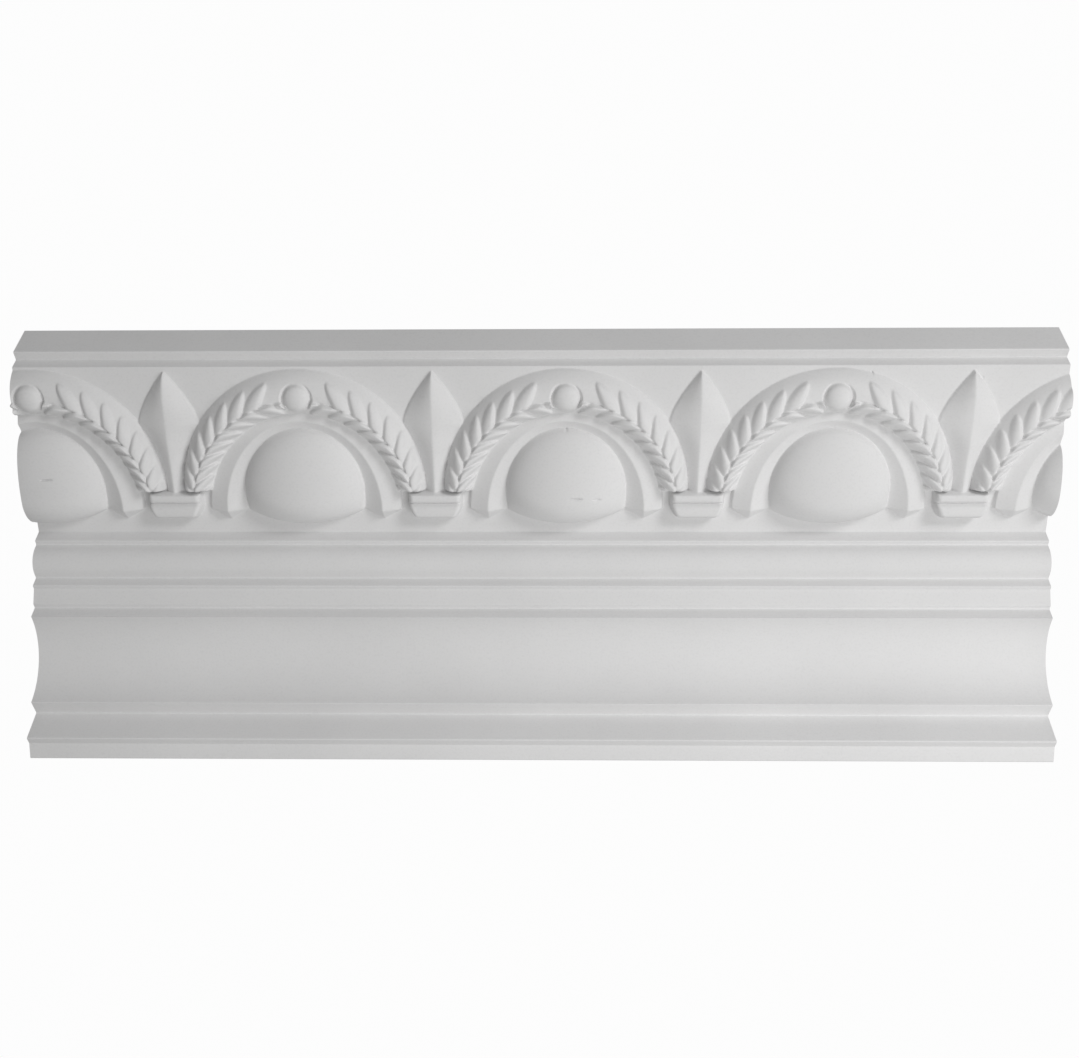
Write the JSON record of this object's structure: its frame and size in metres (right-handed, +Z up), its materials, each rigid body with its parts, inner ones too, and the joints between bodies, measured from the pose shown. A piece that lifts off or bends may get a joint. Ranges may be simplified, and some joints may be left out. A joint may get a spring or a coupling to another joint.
{
  "type": "cornice moulding length",
  "caption": "Straight plaster cornice length with a sloping frieze of eggs in laurel arches, darts between them, fillets and a cove below, and flat lands for wall and ceiling.",
  "frame": {"origin": "middle of the flat land that is bedded on the wall", "axes": "+X along the run, +Y into the wall, -Y out into the room, +Z up to the ceiling"},
  "size_m": [0.502, 0.1539, 0.1453],
  "materials": {
    "plaster": "matt cast gypsum plaster, bare"
  },
  "bodies": {
    "root": {"cornice": "plaster"}
  },
  "joints": []
}
